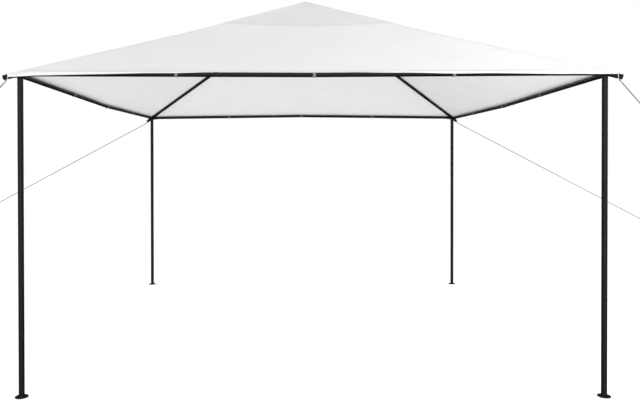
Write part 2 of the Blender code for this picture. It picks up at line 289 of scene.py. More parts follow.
lay_floor(0.03)
light_the_sky(1.0, 0.82, 0.07, 1.9)
hang_soft_light("front_softbox", (2.0, -9.0, 0.9), (-0.3, 1.4, 2.5), 7.0, 1.4, 204.0)
hang_soft_light("right_softbox", (4.4, -4.0, 4.4), (1.9, -1.6, 2.4), 2.2, 2.2, 112.0)
hang_soft_light("low_right_softbox", (8.5, 1.2, 0.9), (-1.4, 0.4, 2.5), 5.0, 1.4, 70.0)
hang_soft_light("low_back_softbox", (-1.5, 1.3, 0.05), (-1.4, 1.7, 2.4), 1.6, 1.6, 6.5)
hang_soft_light("left_corner_softbox", (-2.9, -2.6, 2.6), (-2.0, -2.0, 2.25), 0.6, 0.6, 3.6)

# %% [markdown]
# ## Shared finishes as node groups
# Powder coat, dust, weave, stitches and yarns turn up on several pieces. Each effect is built once as a
# node group with named inputs, and each material then uses it with its own values. The groups only work
# out heights, masks and shades that change over the surface. The shader stays in the material.


# %% Helpers for building node groups
def add_sockets(group, way, labels):
    return [group.interface.new_socket(name=label, in_out=way, socket_type="NodeSocketFloat") for label in labels]


def new_group(name, inputs):
    """A shader node group with these inputs, and the sockets that they come in by."""
    group = bpy.data.node_groups.new(name, "ShaderNodeTree")
    for socket, value in zip(add_sockets(group, "INPUT", inputs), inputs.values()):
        socket.default_value = value
    return group, group.nodes.new("NodeGroupInput").outputs


def give_out(group, **results):
    """Closes a group with an output for each result."""
    add_sockets(group, "OUTPUT", results)
    add_node(group, "NodeGroupOutput", results)
    print("built", group.name, "with", *results)
    return group


def noise_over(tree, vector, scale, detail, roughness):
    entries = {"Vector": vector, "Scale": scale, "Detail": detail, "Roughness": roughness}
    return add_node(tree, "ShaderNodeTexNoise", entries).outputs["Fac"]


def half_sines(tree, count):
    """A row of rounded backs, one for each whole number."""
    return sum_up(tree, "ABSOLUTE", sum_up(tree, "SINE", sum_up(tree, "MULTIPLY", count, math.pi)))


def metres_over(tree):
    """Coordinates in metres over the whole tent."""
    return tree.nodes.new("ShaderNodeTexCoord").outputs["Object"]


def metres_on(tree):
    """Coordinates in metres on the sheet, tape or rope itself."""
    return tree.nodes.new("ShaderNodeUVMap").outputs["UV"]


print("group helpers ready")

# %% [markdown]
# ## Powder coat
# Powder paint is baked on, and it keeps a faint orange-peel skin. A painted texture could show it, but a
# noise in metres works on every tube without unwrapping it. A slow noise changes the gloss a little from
# place to place, as it does where hands have held the tube.

# %% The powder coat group
group, given = new_group("powder_coat_skin", {"Grain per metre": 700.0, "Gloss from": 0.36, "Gloss to": 0.52})
place = metres_over(group)
peel = noise_over(group, place, given["Grain per metre"], 3.0, 0.6)
patches = spread(group, noise_over(group, place, 9.0, 3.0, 0.55), 0.3, 0.7)
span = sum_up(group, "SUBTRACT", given["Gloss to"], given["Gloss from"])
gloss = sum_up(group, "MULTIPLY_ADD", patches, span, given["Gloss from"])
powder_coat = give_out(group, Height=peel, Roughness=gloss, Shade=spread(group, peel, 0.35, 0.65))

# %% [markdown]
# ## Dust
# Outdoors dust settles on what faces up, and in patches. The upward part of the surface's normal, times a
# noise, gives a mask for it. The mask lightens the paint and takes its gloss away.

# %% The dust group
group, given = new_group("settled_dust", {"Amount": 0.2, "Patches per metre": 14.0})
normal = group.nodes.new("ShaderNodeNewGeometry").outputs["Normal"]
upward = spread(group, parts_of(group, normal)["Z"], 0.25, 1.0)
patches = noise_over(group, metres_over(group), given["Patches per metre"], 5.0, 0.65)
mask = sum_up(group, "MULTIPLY", upward, spread(group, patches, 0.38, 0.72))
settled_dust = give_out(group, Mask=sum_up(group, "MULTIPLY", mask, given["Amount"]))

# %% [markdown]
# ## Plain weave
# The roof is coated polyester, woven one over, one under. The pieces of cloth carry UV coordinates in
# metres, so threads come out at their real pitch. A chequer decides which thread is on top at each
# crossing, and a half sine rounds its back.

# %% The weave group
group, given = new_group("plain_weave", {"Threads per metre": 900.0})
cloth = metres_on(group)
axes = parts_of(group, cloth)
counts = [sum_up(group, "MULTIPLY", axes[axis], given["Threads per metre"]) for axis in "XY"]
crossing = sum_up(group, "ADD", *[sum_up(group, "FLOOR", count) for count in counts])
on_top = sum_up(group, "PINGPONG", crossing, 1.0)
under = sum_up(group, "SUBTRACT", 1.0, on_top)
height = sum_up(group, "MULTIPLY", half_sines(group, counts[0]), on_top)
height = sum_up(group, "MULTIPLY_ADD", half_sines(group, counts[1]), under, height)
plain_weave = give_out(group, Height=height, Shade=noise_over(group, cloth, 3.0, 4.0, 0.6))

# %% [markdown]
# ## Stitches
# A lockstitch seam shows as a row of short dashes with a dimple at each end. On a tape or hem the U
# coordinate runs along the seam and V across it, both in metres and with V nought in the middle, so two
# rows of dashes come from two simple tests.

# %% The stitch group
STITCH_SHARE = 0.74        # of the pitch that a thread lies on top
group, given = new_group(
    "lockstitch_rows", {"Pitch": 0.0045, "Row from middle": 0.0075, "Thread width": 0.0011}
)
tape = parts_of(group, metres_on(group))
step = sum_up(group, "FRACT", sum_up(group, "DIVIDE", tape["X"], given["Pitch"]))
dash = sum_up(group, "LESS_THAN", step, STITCH_SHARE)
across = sum_up(group, "ABSOLUTE", tape["Y"])
off_row = sum_up(group, "ABSOLUTE", sum_up(group, "SUBTRACT", across, given["Row from middle"]))
on_row = sum_up(group, "LESS_THAN", off_row, sum_up(group, "MULTIPLY", given["Thread width"], 0.5))
mask = sum_up(group, "MULTIPLY", dash, on_row)
pressed = sum_up(group, "LESS_THAN", off_row, given["Thread width"])
lockstitch = give_out(group, Mask=mask, Height=sum_up(group, "MULTIPLY_ADD", pressed, -0.6, mask))

# %% [markdown]
# ## Yarns
# A laid rope is three strands twisted together, and each strand is a bundle of yarns. The strands are
# real shape, made further on. The yarns are too fine for that, so a slanting wave over the rope's UVs
# stands for them: U runs along the rope in metres and V once round it. The wave also sets the colour,
# so the grooves between the yarns are painted darker, as painted shade, and a fine noise adds a random
# tone to the fibres.

# %% The yarn group
group, given = new_group("yarns_with_painted_groove_shade", {"Yarns": 30.0, "Turns per metre": 900.0})
strand = parts_of(group, metres_on(group))
run = sum_up(group, "MULTIPLY", strand["X"], given["Turns per metre"])
turn = sum_up(group, "MULTIPLY", strand["Y"], given["Yarns"])
yarns = half_sines(group, sum_up(group, "SUBTRACT", turn, run))
fuzz = noise_over(group, metres_over(group), 2600.0, 3.0, 0.7)
height = sum_up(group, "MULTIPLY_ADD", fuzz, 0.4, yarns)
# Shade is painted shade in the grooves between yarns, with a little random fibre tone from the noise
yarns_with_painted_groove_shade = give_out(group, Height=height, Shade=spread(group, height, 0.2, 1.2))

# %% [markdown]
# ## Zinc
# Hot or bright zinc plating has a crystal pattern called spangle, and it dulls unevenly. Voronoi cells
# of a few millimetres give the crystals, and a noise dulls them in patches.

# %% The zinc group
group, given = new_group("zinc_spangle", {"Crystals per metre": 260.0})
place = metres_over(group)
cells = add_node(group, "ShaderNodeTexVoronoi", {"Vector": place, "Scale": given["Crystals per metre"]})
crystals = add_node(group, "ShaderNodeSeparateColor", {"Color": cells.outputs["Color"]}).outputs["Red"]
dull = sum_up(group, "MULTIPLY", noise_over(group, place, 60.0, 4.0, 0.6), 0.5)
shade = sum_up(group, "MULTIPLY_ADD", crystals, 0.5, dull)
zinc_spangle = give_out(group, Shade=shade, Roughness=spread(group, shade, 0.2, 0.8, 0.26, 0.5))

# %% [markdown]
# ## The finishes
# The steel is black powder coat with a little dust on top. The plugs at the ends of the arms are plain
# black plastic. Roof and hems are white polyester, which lets part of the light through, the ties are
# grey webbing, the corner loops black webbing, the stays grey laid rope on loops of white cord, and the
# stakes zinc. The peak patch is the same polyester, painted a little lighter as painted light for what
# would shine through its two layers. All colours are a little duller than they look in daylight,
# because a white studio lifts them.


# %% Mix the finishes
def place_group(tree, group, **values):
    """The outputs of a group placed in a material. Spaces in an input's name are written as underscores."""
    entries = {label.replace("_", " ").capitalize(): value for label, value in values.items()}
    return add_node(tree, "ShaderNodeGroup", node_tree=group, entries=entries).outputs


def grey(level, warmth=0.0):
    """A grey, with this much less blue."""
    return (level, level, level - warmth)


def blend_colour(tree, share, first, second):
    """A colour between two colours or colour sockets, by a share socket."""
    first, second = [(*colour, 1.0) if isinstance(colour, tuple) else colour for colour in (first, second)]
    return add_node(tree, "ShaderNodeMix", {0: share, 6: first, 7: second}, data_type="RGBA").outputs[2]


def bumps(tree, height, distance, strength):
    """The normal of a surface raised by a height socket, with the distance in metres."""
    entries = {"Height": height, "Distance": distance, "Strength": strength}
    return add_node(tree, "ShaderNodeBump", entries).outputs["Normal"]


def black_steel():
    material, tree, shader = principled("black_powder_coated_steel")
    skin = place_group(tree, powder_coat, gloss_from=0.5, gloss_to=0.64)
    dust = place_group(tree, settled_dust, amount=0.08)["Mask"]
    paint = blend_colour(tree, skin["Shade"], grey(0.0035, -0.0003), grey(0.0055, -0.0003))
    feed(tree, shader, {
        "Base Color": blend_colour(tree, dust, paint, (0.14, 0.135, 0.125)),
        "Roughness": sum_up(tree, "MULTIPLY_ADD", dust, 1.5, skin["Roughness"]),
        "Normal": bumps(tree, skin["Height"], 0.00005, 0.3),
    })
    return material


def black_plastic():
    material, tree, shader = principled("black_moulded_plastic")
    skin = place_group(tree, powder_coat, grain_per_metre=1400.0, gloss_from=0.3, gloss_to=0.42)
    feed(tree, shader, {
        "Base Color": blend_colour(tree, skin["Shade"], grey(0.009), grey(0.013)),
        "Roughness": skin["Roughness"],
        "Normal": bumps(tree, skin["Height"], 0.00006, 0.4),
    })
    return material


def white_cloth(name, dark, light, through):
    """Coated cloth. The last value is the share of the light that spreads through its thickness."""
    material, tree, shader = principled(name)
    weave = place_group(tree, plain_weave)
    feed(tree, shader, {
        "Base Color": blend_colour(tree, spread(tree, weave["Shade"], 0.3, 0.7), dark, light),
        "Roughness": 0.62, "Specular IOR Level": 0.3, "Sheen Weight": 0.05,
        "Subsurface Weight": through, "Subsurface Radius": (1.0, 1.0, 1.0), "Subsurface Scale": 0.004,
        "Normal": bumps(tree, weave["Height"], 0.00012, 0.35),
    })
    return material


def sewn_tape(name, dark, light, thread, row):
    """Woven tape with two rows of stitches, each this far from its middle."""
    material, tree, shader = principled(name)
    weave = place_group(tree, plain_weave, threads_per_metre=700.0)
    seam = place_group(tree, lockstitch, row_from_middle=row)
    height = sum_up(tree, "MULTIPLY_ADD", seam["Height"], 3.0, weave["Height"])
    feed(tree, shader, {
        "Base Color": blend_colour(tree, seam["Mask"], blend_colour(tree, weave["Shade"], dark, light), thread),
        "Roughness": 0.66, "Specular IOR Level": 0.3,
        "Normal": bumps(tree, height, 0.00015, 0.4),
    })
    return material


def laid_rope(name, dark, light):
    material, tree, shader = principled(name)
    yarns = place_group(tree, yarns_with_painted_groove_shade)
    # The yarns' shade paints the grooves darker: painted shade, plus a little random fibre tone
    feed(tree, shader, {
        "Base Color": blend_colour(tree, yarns["Shade"], dark, light),
        "Roughness": 0.8, "Specular IOR Level": 0.2,
        "Normal": bumps(tree, yarns["Height"], 0.0002, 0.7),
    })
    return material


def zinc_plate():
    material, tree, shader = principled("zinc_plated_steel")
    crystals = place_group(tree, zinc_spangle)
    feed(tree, shader, {
        "Base Color": blend_colour(tree, crystals["Shade"], (0.42, 0.43, 0.44), (0.66, 0.67, 0.68)),
        "Roughness": crystals["Roughness"], "Metallic": 1.0,
    })
    return material


steel = black_steel()
plastic = black_plastic()
roof_cloth = white_cloth("white_roof_polyester", grey(0.755), grey(0.785), 0.4)
# The patch is the roof's polyester with painted light: its colour is lighter to stand for light shining through
# its two layers
patch_cloth_painted_lighter = white_cloth("white_patch_polyester_painted_lighter", grey(0.765), grey(0.795), 0.1)
loop_webbing = sewn_tape("black_loop_webbing", grey(0.012), grey(0.022), grey(0.03), 0.0045)
hem_cloth = sewn_tape("white_hem_tape", grey(0.755), grey(0.79), grey(0.62, 0.01), 0.0075)
webbing = sewn_tape("grey_tie_webbing", grey(0.18), grey(0.27), grey(0.14), 0.0078)
rope = laid_rope("grey_laid_rope", grey(0.12, 0.002), grey(0.22, 0.003))
cord = laid_rope("white_laid_cord", grey(0.42, 0.005), grey(0.60, 0.01))
zinc = zinc_plate()
finishes = (steel, plastic, roof_cloth, patch_cloth_painted_lighter, loop_webbing, hem_cloth, webbing, rope, cord, zinc)
print("finishes:", [material.name for material in finishes])

# %% [markdown]
# ## Steel from the frame
# The frame's solids have the right shape, so they stay and only get their finish. They arrive with flat
# facets. Welding the corners of neighbouring facets and shading them smooth up to an angle makes the
# tubes round again, and a small bevel catches the light on turned edges. Both are modifiers, so the
# solids themselves don't change.

# %% Finish the solids of the frame
SMOOTH_UP_TO = math.radians(40.0)
SHARP_FROM = math.radians(50.0)
FACET_GAP = 0.00002        # under which the corners of facets are welded
CAP_EDGE = 0.0022


def rounding_group():
    """A geometry node group that welds facets and shades them smooth where they meet at a flat angle."""
    group = bpy.data.node_groups.new("weld_and_round", "GeometryNodeTree")
    for way in ("INPUT", "OUTPUT"):
        group.interface.new_socket(name="Geometry", in_out=way, socket_type="NodeSocketGeometry")
    solid = group.nodes.new("NodeGroupInput").outputs[0]
    bend = group.nodes.new("GeometryNodeInputMeshEdgeAngle").outputs["Unsigned Angle"]
    flat_enough = add_node(
        group, "FunctionNodeCompare", {"A": bend, "B": SMOOTH_UP_TO}, operation="LESS_THAN"
    ).outputs[0]
    for kind, entries, settings in (
        ("GeometryNodeMergeByDistance", {"Distance": FACET_GAP}, {}),
        ("GeometryNodeSetShadeSmooth", {}, {}),
        ("GeometryNodeSetShadeSmooth", {"Shade Smooth": flat_enough}, {"domain": "EDGE"}),
    ):
        solid = add_node(group, kind, {"Geometry": solid, **entries}, **settings).outputs[0]
    add_node(group, "NodeGroupOutput", {0: solid})
    return group


def finish_solid(solid, material, bevel=0.0):
    """Gives a solid of the frame its finish, round shading and, where asked, softened edges."""
    if "custom_normal" in solid.data.attributes:
        solid.data.attributes.remove(solid.data.attributes["custom_normal"])
    solid.data.materials.clear()
    solid.data.materials.append(material)
    solid.modifiers.new("Weld and round", "NODES").node_group = weld_and_round
    if bevel:
        edge = solid.modifiers.new("Soft edges", "BEVEL")
        edge.width = bevel
        edge.segments = 3
        edge.limit_method = "ANGLE"
        edge.angle_limit = SHARP_FROM


weld_and_round = rounding_group()
kept = [name for name in nodes if not name.startswith(("canopy_panel", "peak_patch", "guy_stay"))]
for name in kept:
    if name.startswith("end_cap"):
        finish_solid(nodes[name], plastic, CAP_EDGE)
    else:
        finish_solid(nodes[name], zinc if name.startswith("ground_stake") else steel)
print("solids finished:", len(kept))

# %% [markdown]
# ## Building pieces
# Nearly all soft pieces here are either a sheet, made of columns of points, or a run, made of rings of
# points along a path. Both keep their UV coordinates in metres, so that weave and stitches have their
# real size. One helper links a piece, gives it its finish and lets it ride on the tent.

# %% Helpers for sheets and runs
WELD_DISTANCE = 0.00004


def add_piece(name, mesh, material):
    """Links a piece with its finish and lets it ride on the tent."""
    mesh.name = name
    mesh.materials.append(material)
    piece = show(name, mesh)
    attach(piece, "root")
    return piece


def skin(shape, grid, uvs, closed=False, tube=False):
    """Adds faces between lines of points, with their UVs. In a tube each line of points is a ring."""
    layers = shape.loops.layers.uv
    layer = layers.get("metres") or layers.new("metres")
    made = [[shape.verts.new(point) for point in line] for line in grid]
    lines, places = len(grid), len(grid[0])
    for line in range(lines if closed else lines - 1):
        for place in range(places if tube else places - 1):
            corners = ((line, place), (line, place + 1), (line + 1, place + 1), (line + 1, place))
            face = shape.faces.new([made[row % lines][spot % places] for row, spot in corners])
            for loop, (row, spot) in zip(face.loops, corners):
                loop[layer].uv = uvs[row][spot]
    if tube and not closed:
        shape.faces.new(made[0][::-1])
        shape.faces.new(made[-1])


def smooth_mesh(shape):
    mesh = bpy.data.meshes.new("piece")
    shape.to_mesh(mesh)
    shape.free()
    mesh.shade_smooth()
    return mesh


def run_mesh(runs, marks, closed=False, across=None):
    """A mesh of runs of rings. marks and across hold the UVs along each run and round it."""
    sides = len(runs[0][0])
    across = [*across, across[0]] if across else [side / sides for side in range(sides + 1)]
    uvs = [[(mark, place) for place in across] for mark in marks]
    shape = bmesh.new()
    for rings in runs:
        skin(shape, rings, uvs, closed, tube=True)
    bmesh.ops.recalc_face_normals(shape, faces=shape.faces)
    mesh = smooth_mesh(shape)
    mesh.set_sharp_from_angle(angle=SHARP_FROM)
    return mesh


def sew_sheet(name, grids, uvs, material, thickness, lift=0.0):
    """Welds grids of points into a sheet that looks up, lifts it along its normals and gives it thickness."""
    shape = bmesh.new()
    for grid, grid_uvs in zip(grids, uvs):
        skin(shape, grid, grid_uvs)
    bmesh.ops.remove_doubles(shape, verts=shape.verts, dist=WELD_DISTANCE)
    bmesh.ops.recalc_face_normals(shape, faces=shape.faces)
    shape.normal_update()
    if sum(face.normal.z for face in shape.faces) < 0.0:
        bmesh.ops.reverse_faces(shape, faces=shape.faces)
        shape.normal_update()
    for vertex in shape.verts:
        vertex.co += vertex.normal * lift
    piece = add_piece(name, smooth_mesh(shape), material)
    shell = piece.modifiers.new("Thickness", "SOLIDIFY")
    shell.thickness = thickness
    shell.offset = 1.0
    return piece


def along_path(points, closed=False):
    """Two directions across a path at each point, which turn as little as possible."""
    count = len(points)
    across = None
    frames = []
    for index in range(count):
        before = points[index - 1] if index or closed else points[0]
        after = points[(index + 1) % count] if index + 1 < count or closed else points[-1]
        travel = (after - before).normalized()
        across = across or travel.orthogonal().normalized()
        across = (across - travel * across.dot(travel)).normalized()
        frames.append((across, travel.cross(across)))
    return frames


def marks_along(points, closed=False):
    """How far along a line each point is. The line comes back to its start if it is closed."""
    path = [*points, points[0]] if closed else points
    marks = [0.0]
    for first, second in zip(path, path[1:]):
        marks.append(marks[-1] + (second - first).length)
    return marks


def walk(points, distance):
    """The point this far along a line of points. A negative distance runs on before its start."""
    if distance < 0.0:
        return points[0] + (points[0] - points[1]).normalized() * -distance
    for first, second in zip(points, points[1:]):
        step = (second - first).length
        if step >= distance and step > 0.0:
            return first.lerp(second, distance / step)
        distance -= step
    return points[-1].copy()


print("ready to build")

# %% [markdown]
# ## The roof cloth
# The roof is one sewn sheet. It lies on the four rafters, sags a few centimetres in each panel, bends down
# over the rails and runs out over the ends of the corner arms. It could be draped by simulation, but a
# taut roof is mostly straight lines between its tubes, and its sag is well known. So each panel is laid
# out in columns from the peak to the hem, and the four are welded along the hips into one sheet.

# %% Sizes and height of the roof cloth
CLOTH_LIFT = 0.0198        # from the axis of a tube up to the underside of the cloth
CLOTH_THICKNESS = 0.0009
PANEL_SAG = 0.030
FOLD_DEPTH = 0.0035        # of the folds that fan out from each corner
FOLD_REACH = 0.6           # how fast they fade away from it
FOLD_TURNS = 26.0          # how close they lie
FOLD_START = 0.25          # the distance over which they rise
SWELL = 0.0022             # of the slow waves in a panel
SWELL_WAVES = (5.3, 4.1)   # how close those lie, along the side and down it


def pull_folds(side, outward, along):
    """Shallow folds in the cloth: they fan out from the corners, and the panel swells a little between them."""
    number = SIDES.index(side)
    share = outward / HALF_SPAN
    inner = min(max(1.0 - share**6, 0.0), 1.0)
    folds = 0.0
    for sign, phase in ((-1.0, 0.6), (1.0, 0.0)):
        gap_out = HALF_SPAN - outward
        gap_along = HALF_SPAN - sign * along
        distance = math.hypot(gap_out, gap_along)
        if distance > 0.02:
            lean = math.atan2(gap_along - gap_out, gap_along + gap_out)
            fan = math.sin(lean * FOLD_TURNS + phase + number) * math.sin(lean * 2.0) ** 2
            folds += FOLD_DEPTH * math.exp(-distance / FOLD_REACH) * fan * min(distance / FOLD_START, 1.0)
    across = along / outward if outward > 0.001 else 0.0
    slow = math.sin(SWELL_WAVES[0] * along + 1.7 * number) * math.sin(SWELL_WAVES[1] * outward + 0.8)
    swell = SWELL * slow * (1.0 - across**2) * math.sin(math.pi * min(share, 1.0))
    return (folds * (1.0 - across**8) + swell) * inner


def cloth_height(side, outward, along):
    """Underside of the roof over a point inside the eaves, in the frame of one side, without its folds."""
    share = outward / HALF_SPAN
    across = along / outward if outward > 0.0 else 0.0
    sag = PANEL_SAG * math.sin(math.pi * min(share, 1.0) ** 0.85) * (1.0 - across**2)
    dip = (EAVE_HEIGHT - rail_height(side, HALF_SPAN * across)) * share**4 * (1.0 - across**12)
    return rafter_height(outward) + CLOTH_LIFT - sag - dip


def cloth_point(side, outward, along, lift=0.0):
    height = cloth_height(side, outward, along) + pull_folds(side, outward, along) + lift
    return Vector((outward, along, height))


height = cloth_height("front", HALF_SPAN, 1.0) - rail_height("front", 1.0)
print("height of the cloth over a rail:", round(height, 4))

# %% Where the hem and the corner tips run
HEM_DROP = 0.005
HEM_DROP_CORNER = 0.030
HEM_LIFT = 0.0022          # between two ties
WRAP_RADIUS = 0.0192       # from a rail's axis to the cloth that bends round it
TIP_RADIUS = 0.0192
TIP_SET_BACK = 0.0105      # leaves room for the stay's loop before the end cap
TIE_PLACES = (-0.932, 0.012, 0.968)
TIE_GAP = 0.47             # from a tie to the middle between two
# How far round the arm the cloth reaches at each corner, in degrees from the top
TIP_TURNS = {"front_left": 96.0, "front_right": 42.0, "back_right": 92.0, "back_left": 96.0}
# Where a side's hem rides up or hangs down between its ties: (place along the side, reach, drop)
HEM_WANDERS = {
    "front": ((-0.50, 0.26, -0.0050), (0.03, 0.20, -0.0024), (0.93, 0.34, 0.0062), (1.87, 0.14, -0.0048)),
    "right": ((-0.60, 0.30, -0.0020), (0.55, 0.30, 0.0015)),
    "back": ((0.45, 0.30, -0.0015), (-0.70, 0.25, 0.0012)),
    "left": ((0.50, 0.28, -0.0018), (-0.55, 0.30, 0.0020)),
}


def hem_point(side, along):
    """The hem where it bends over a rail, in the frame of the side. It lifts a little between the ties."""
    share = abs(along) / HALF_SPAN
    nearest = min(abs(along - place) for place in TIE_PLACES)
    drop = HEM_DROP + HEM_DROP_CORNER * share**2.1
    drop -= HEM_LIFT * math.sin(math.pi * min(nearest / TIE_GAP, 1.0)) ** 2 * (1.0 - share**4)
    for place, reach, depth in HEM_WANDERS[side]:
        drop += depth * math.exp(-(((along - place) / reach) ** 2))
    drop = max(drop, 0.001)
    start = cloth_height(side, HALF_SPAN, along)
    rise = max(start - rail_height(side, along) - drop, 0.0)
    bulge = math.sqrt(max(WRAP_RADIUS**2 - rise**2, 0.0))
    return Vector((HALF_SPAN + bulge, abs(along), start - drop))


def tip_point(angle):
    """The end edge of the roof over the outer arm, turned by this angle from the top of the arm."""
    reach = HALF_SPAN + ARM_OVERHANG - TIP_SET_BACK
    sideways = TIP_RADIUS * math.sin(angle) / math.sqrt(2.0)
    return Vector((reach + sideways, reach - sideways, rafter_height(reach) + CLOTH_LIFT * math.cos(angle)))


print("height of the hem by the middle tie:", round(hem_point("front", TIE_PLACES[1]).z, 3))

# %% Lay out the columns of a panel
SKIRT_END = 1.900          # where the hem leaves the rail for the arm
RAIL_COLUMNS = 44
TIP_COLUMNS = 8            # from there to the arm, and as many round it
ROOF_ROWS = 46
WRAP_ROWS = 7
SKIRT_STRAIGHTNESS = 0.8   # of the cloth's bend where it reaches the arm


def half_columns(side, corner, sign):
    """Columns of a side's half, from its middle to the hip: (start along the rail, end point, straightness)."""
    columns = []
    for index in range(RAIL_COLUMNS + 1):
        start = SKIRT_END * index / RAIL_COLUMNS
        columns.append((start, hem_point(side, sign * start), 0.0))
    hem_end = columns[-1][1]
    turn = math.radians(TIP_TURNS[corner])
    for index in range(1, 2 * TIP_COLUMNS + 1):
        start = SKIRT_END + (HALF_SPAN - SKIRT_END) * index / (2 * TIP_COLUMNS)
        share = index / TIP_COLUMNS
        if share <= 1.0:
            columns.append((start, hem_end.lerp(tip_point(turn), share), SKIRT_STRAIGHTNESS * share))
        else:
            straight = SKIRT_STRAIGHTNESS + (1.0 - SKIRT_STRAIGHTNESS) * (share - 1.0)
            columns.append((start, tip_point(turn * (2.0 - share)), straight))
    return columns


def column_points(side, sign, start, end, straight):
    """Points of one column from the peak to the hem."""
    points = []
    for index in range(ROOF_ROWS + 1):
        outward = HALF_SPAN * (index / ROOF_ROWS)
        points.append(cloth_point(side, outward, sign * (outward * (start / HALF_SPAN))))
    top = points[-1]
    for row in range(1, WRAP_ROWS + 1):
        share = row / WRAP_ROWS
        turn = math.radians(90.0) * share
        out_share = math.sin(turn) ** 0.7 * (1.0 - straight) + share * straight
        down_share = (1.0 - math.cos(turn)) * (1.0 - straight) + share * straight
        target = (end.x, sign * end.y, end.z)
        steps = zip(top, target, (out_share, out_share, down_share))
        points.append([here + (there - here) * part for here, there, part in steps])
    return [from_side(side, *point) for point in points]


def panel_grid(side):
    """All columns of a side from its left hip to its right hip."""
    left = [column_points(side, -1.0, *column) for column in half_columns(side, LEFT_CORNERS[side], -1.0)]
    right = [column_points(side, 1.0, *column) for column in half_columns(side, RIGHT_CORNERS[side], 1.0)]
    return left[:0:-1] + right


panels = {side: panel_grid(side) for side in SIDES}
print("points in a panel:", len(panels["front"]), "by", len(panels["front"][0]))


# %% Sew the panels into one sheet
def cloth_marks(side, grid):
    """UVs in metres of a side's cloth: along the eaves, and down the slope from the peak."""
    out_axis, along_axis = side_frame(side)
    return [
        [(spot.dot(along_axis), math.hypot(spot.dot(out_axis), PEAK_HEIGHT - spot.z)) for spot in column]
        for column in grid
    ]


def sew_cloth(name, sheets, material):
    uvs = [cloth_marks(side, grid) for side, grid in sheets.items()]
    piece = sew_sheet(name, sheets.values(), uvs, material, CLOTH_THICKNESS)
    print(name, "in square metres:", round(sum(polygon.area for polygon in piece.data.polygons), 2))
    return piece


roof = sew_cloth("canopy_cloth", panels, roof_cloth)
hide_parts(*[f"canopy_panel_{side}" for side in SIDES])

# %% [markdown]
# ## The peak patch
# A second, smaller square of cloth is sewn over the top, where the roof rubs on the hub. It lies on the
# panels, so it follows the same heights a few millimetres higher. Its edge is folded under, which makes
# a slightly raised band all round that throws the thin shadow seen from the front.

# %% Sew the patch on
PATCH_HALF = 0.740
PATCH_LIFT = 0.0034
PATCH_ROWS = 18
PATCH_COLUMNS = 24         # in half a side
PATCH_FOLD_ROWS = (0.0165, 0.0150, 0.0050, 0.0)    # distances from the edge
PATCH_FOLD = 0.016         # width of the folded edge
PATCH_FOLD_HEIGHT = 0.0008
PATCH_EDGE_DROP = 0.0022


def patch_grid(side):
    rows = [PATCH_HALF * index / PATCH_ROWS for index in range(PATCH_ROWS)]
    rows += [PATCH_HALF - distance for distance in PATCH_FOLD_ROWS]
    grid = []
    for index in range(-PATCH_COLUMNS, PATCH_COLUMNS + 1):
        column = []
        for outward in rows:
            lift = PATCH_LIFT + (PATCH_FOLD_HEIGHT if outward > PATCH_HALF - PATCH_FOLD else 0.0)
            point = cloth_point(side, outward, outward * (index / PATCH_COLUMNS), lift)
            column.append(from_side(side, *point))
        edge = column[-1].copy()
        edge.z -= PATCH_EDGE_DROP
        grid.append([*column, edge])
    return grid


patch_sheets = {side: patch_grid(side) for side in SIDES}
patch = sew_cloth("peak_patch_cloth", patch_sheets, patch_cloth_painted_lighter)
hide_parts("peak_patch")

# %% [markdown]
# ## The hem
# The edge of the roof is folded over and stitched down, a band about 24 mm wide. A material could paint
# it, but a real fold thickens the edge, rounds it and throws a thin shadow. So the band is a closed skin
# that wraps the edge of the cloth. Its section is carried from column to column, all the way round.

# %% Fold the hem round the edge
HEM_WIDTH = 0.024
# Section of the hem: (distance back from the edge, distance out from the cloth's underside)
HEM_SECTION = (
    (0.0240, 0.0010), (0.0234, 0.0017), (0.0150, 0.0018), (0.0070, 0.0018), (0.0008, 0.0018),
    (-0.0009, 0.0013), (-0.0014, 0.0005), (-0.0009, -0.0004), (0.0008, -0.0009), (0.0120, -0.0009),
    (0.0234, -0.0008), (0.0240, -0.0001),
)


def settle(directions):
    """Evens out directions round a closed ring."""
    count = len(directions)
    return [
        (directions[index - 1] + directions[index] * 2.0 + directions[(index + 1) % count]).normalized()
        for index in range(count)
    ]


def hem_rings():
    """Rings of the hem's section round the whole edge, and the edge itself."""
    columns = [column[::-1] for side in SIDES for column in panels[side][:-1]]
    edge = [column[0] for column in columns]
    normals = []
    for index, column in enumerate(columns):
        along = edge[(index + 1) % len(edge)] - edge[index - 1]
        normals.append((walk(column, HEM_WIDTH / 2) - column[0]).cross(along).normalized())
    if normals[len(edge) // 8].z < 0.0:
        normals = [-normal for normal in normals]
    rings = [
        [walk(column, back) + normal * out for back, out in HEM_SECTION]
        for column, normal in zip(columns, settle(settle(normals)))
    ]
    return rings, edge


hem_ring_points, hem_edge = hem_rings()
hem_marks = marks_along(hem_edge, True)
hem_across = [back - HEM_WIDTH / 2 for back, _ in HEM_SECTION]
add_piece("canopy_hem", run_mesh([hem_ring_points], hem_marks, True, hem_across), hem_cloth)
print("hem, metres round the tent:", round(hem_marks[-1], 2))

# %% [markdown]
# ## The hip seams
# Neighbouring panels meet over the rafters in a flat seam: both edges are folded into each other and sewn
# with two rows of stitches. Seen from outside it is a narrow raised band from the peak patch to the
# corner. It is laid out on the rows of points of both panels, so it follows every fold of the cloth.

# %% Lay tapes over the hips
SEAM_HALF = 0.010
SEAM_STEPS = (1.0, 0.67, 0.33)
TAPE_LIFT = 0.00095
TAPE_THICKNESS = 0.0006
HIP_SEAM_ROWS = range(16, 52)      # of the roof, from under the patch's edge to the corner
PATCH_SEAM_ROWS = range(1, 22)


